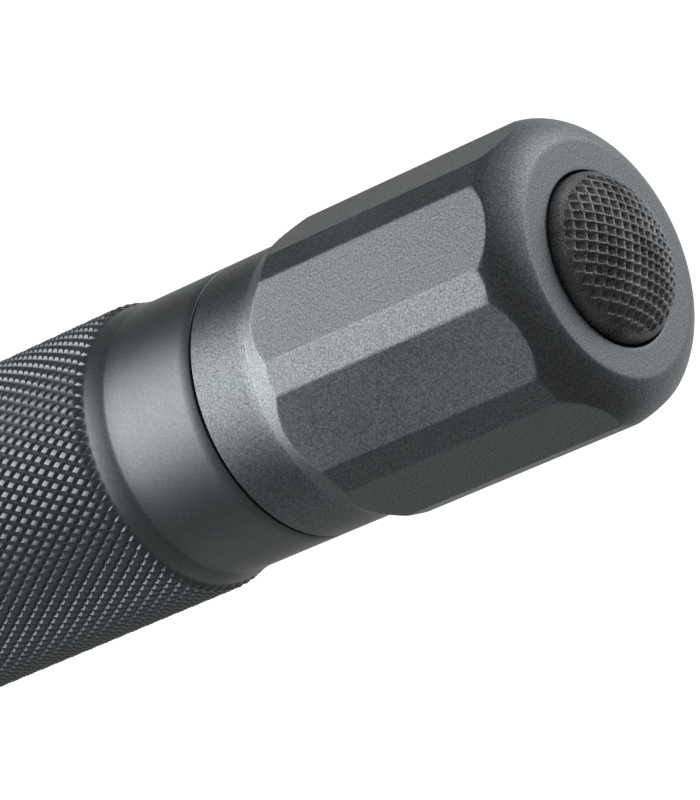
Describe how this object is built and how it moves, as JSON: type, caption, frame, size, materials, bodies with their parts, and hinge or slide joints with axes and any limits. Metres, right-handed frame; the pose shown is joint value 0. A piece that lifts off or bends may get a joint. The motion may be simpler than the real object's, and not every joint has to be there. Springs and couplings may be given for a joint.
{
  "type": "tactical flashlight",
  "caption": "Slim hand torch with a knurled battery tube, a faceted screw-on tail cap, a domed rubber push button in its end, and a flared finned head with a scalloped bezel.",
  "frame": {"origin": "centre of the bezel's rim, on which the flashlight stands head down", "axes": "+Z along the flashlight's axis from the bezel to the tail; +X through the middle of a wide flat on the tail cap"},
  "size_m": [0.033, 0.033, 0.1493],
  "materials": {
    "anodised": "bead-blasted, dark grey hard-anodised",
    "button_rubber": "moulded black rubber",
    "seal_rubber": "black nitrile",
    "black_nylon": "moulded nylon",
    "brass": "turned",
    "spring_plated": "gold-plated spring wire",
    "circuit_board": "solder-masked",
    "cell_can": "nickel-plated",
    "cell_wrap": "shrink sleeve",
    "insulator": "white",
    "component_black": "moulded epoxy",
    "heat_sink": "turned",
    "lead_wire": "silicone insulation",
    "led_board": "white solder mask on metal core",
    "steel": "zinc-plated",
    "led_ceramic": "ceramic",
    "led_silicone": "phosphor under clear silicone",
    "reflector": "vacuum-metallised",
    "glass": "coated, toughened"
  },
  "bodies": {
    "housing": {"battery_tube": "anodised", "head_shell": "anodised", "bezel_ring": "anodised", "bezel_o_ring": "seal_rubber", "lens_gasket": "seal_rubber", "lens": "glass", "reflector": "reflector", "led_centering_ring": "insulator", "led_package": "led_ceramic", "led_dome": "led_silicone", "led_board": "led_board", "led_board_screws": "steel", "led_leads": "lead_wire", "heat_sink": "heat_sink", "driver_board": "circuit_board", "driver_inductor": "component_black", "driver_chips": "component_black", "driver_spring": "spring_plated", "head_o_ring": "seal_rubber", "tail_o_ring": "seal_rubber", "cell_can": "cell_can", "cell_wrap": "cell_wrap", "cell_insulator": "insulator", "cell_positive_cap": "cell_can"},
    "tail_spring": {"tail_spring": "spring_plated", "tail_spring_seat": "brass"},
    "tail_cap": {"tail_cap": "anodised", "switch_housing": "black_nylon", "switch_board": "circuit_board", "switch_retaining_ring": "brass", "switch_contact_posts": "brass", "switch_return_spring": "spring_plated"},
    "button": {"button_pad": "button_rubber", "button_core": "black_nylon", "button_o_ring": "seal_rubber", "switch_plunger": "black_nylon", "switch_contact_ring": "brass"}
  },
  "joints": [
    {"name": "tail_cap_travel", "type": "slide", "parent": "housing", "child": "tail_spring", "axis": [0, 0, 1], "range_m": [0, 0.0075]},
    {"name": "tail_cap_turn", "type": "hinge", "parent": "tail_spring", "child": "tail_cap", "pos_m": [0, 0, 0.12], "axis": [0, 0, 1], "range_deg": [0, 2160]},
    {"name": "button_press", "type": "slide", "parent": "tail_cap", "child": "button", "axis": [0, 0, -1], "range_m": [0, 0.0018], "stiffness_N_per_m": 700, "springref_m": -0.004, "deforming": ["switch_return_spring"]}
  ],
  "couplings": [
    {"joint": "tail_cap_turn", "follows": "tail_cap_travel", "rad_per_m": 5026.5}
  ]
}
